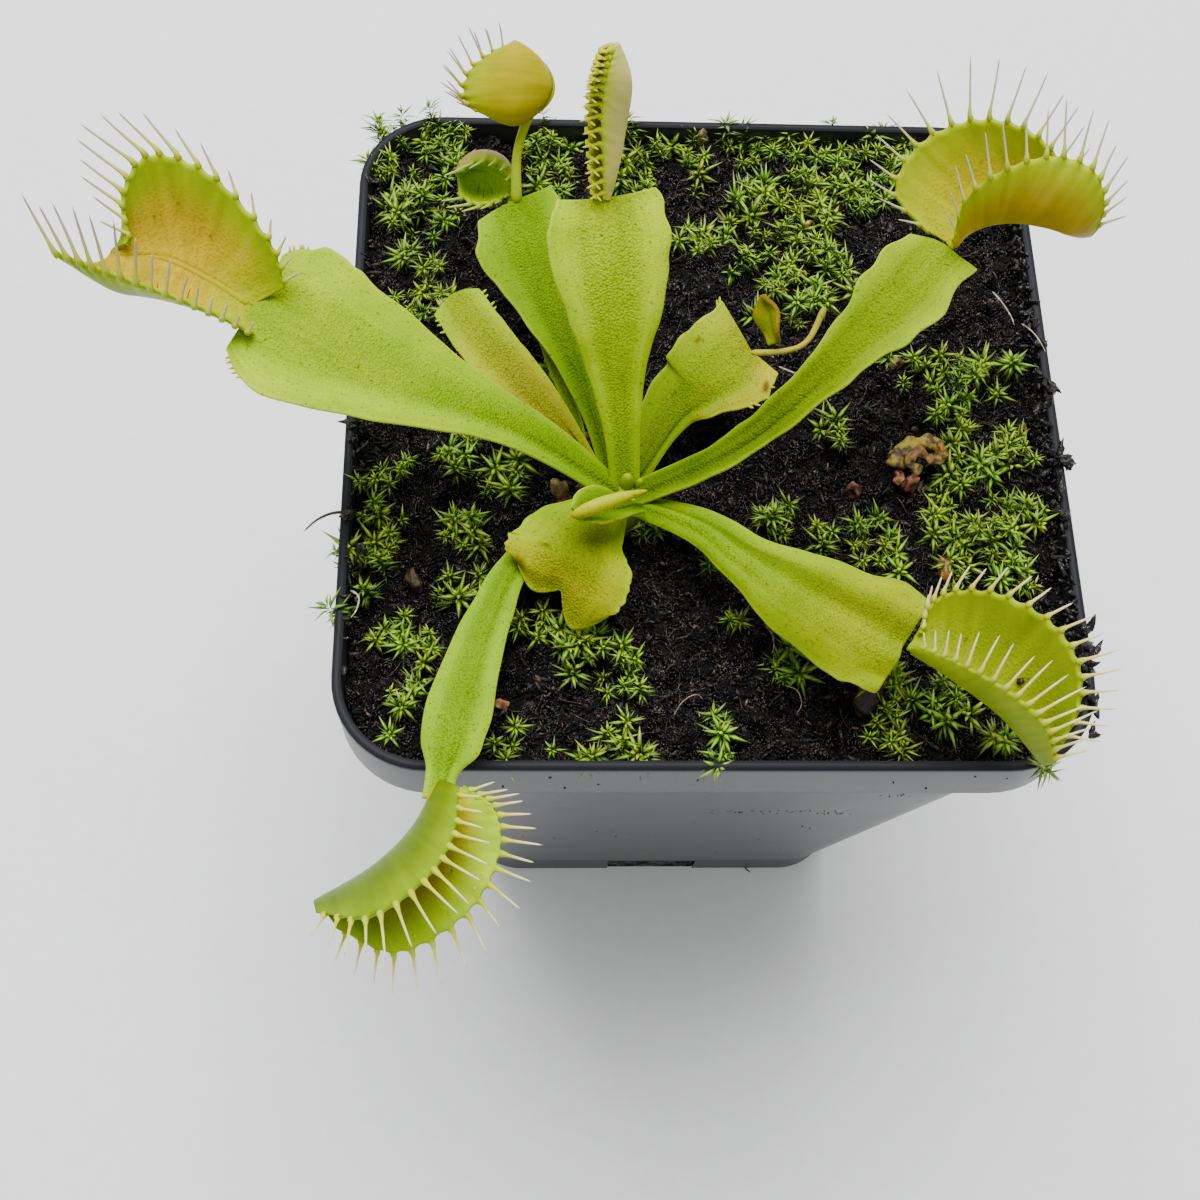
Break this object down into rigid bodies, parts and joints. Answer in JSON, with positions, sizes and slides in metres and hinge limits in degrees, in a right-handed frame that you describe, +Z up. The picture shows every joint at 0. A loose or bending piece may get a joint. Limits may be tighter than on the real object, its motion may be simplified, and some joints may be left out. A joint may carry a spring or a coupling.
{
  "type": "potted venus flytrap",
  "caption": "Venus flytrap with toothed snap traps on broad leaf stalks, growing with star moss in a tapered square plastic nursery pot.",
  "frame": {"origin": "middle of the pot's underside, on the surface it stands on", "axes": "+Z up out of the pot; +Y away from the viewer, square to the pot's front side; +X to the viewer's right"},
  "size_m": [0.0994, 0.0993, 0.1284],
  "materials": {
    "black_pot": "satin",
    "soil": "matte",
    "crown": "satin",
    "leaf": "satin",
    "moss": "matte",
    "withered": "matte"
  },
  "bodies": {
    "root": {"pot": "black_pot", "soil": "soil", "crown": "crown", "leaf_west": "leaf", "leaf_north": "leaf", "leaf_north_east": "leaf", "leaf_south_east": "leaf", "leaf_south_west": "leaf", "leaf_north_west": "leaf", "leaf_small_north_west": "leaf", "leaf_stub_west": "leaf", "leaf_short_north_east": "leaf", "leaf_broad_south": "leaf", "leaf_young_centre": "leaf", "moss_north_west": "moss", "moss_north": "moss", "moss_north_east": "moss", "moss_east": "moss", "moss_south_east": "moss", "moss_south": "moss", "moss_west": "moss", "fallen_trap": "withered"}
  },
  "joints": []
}
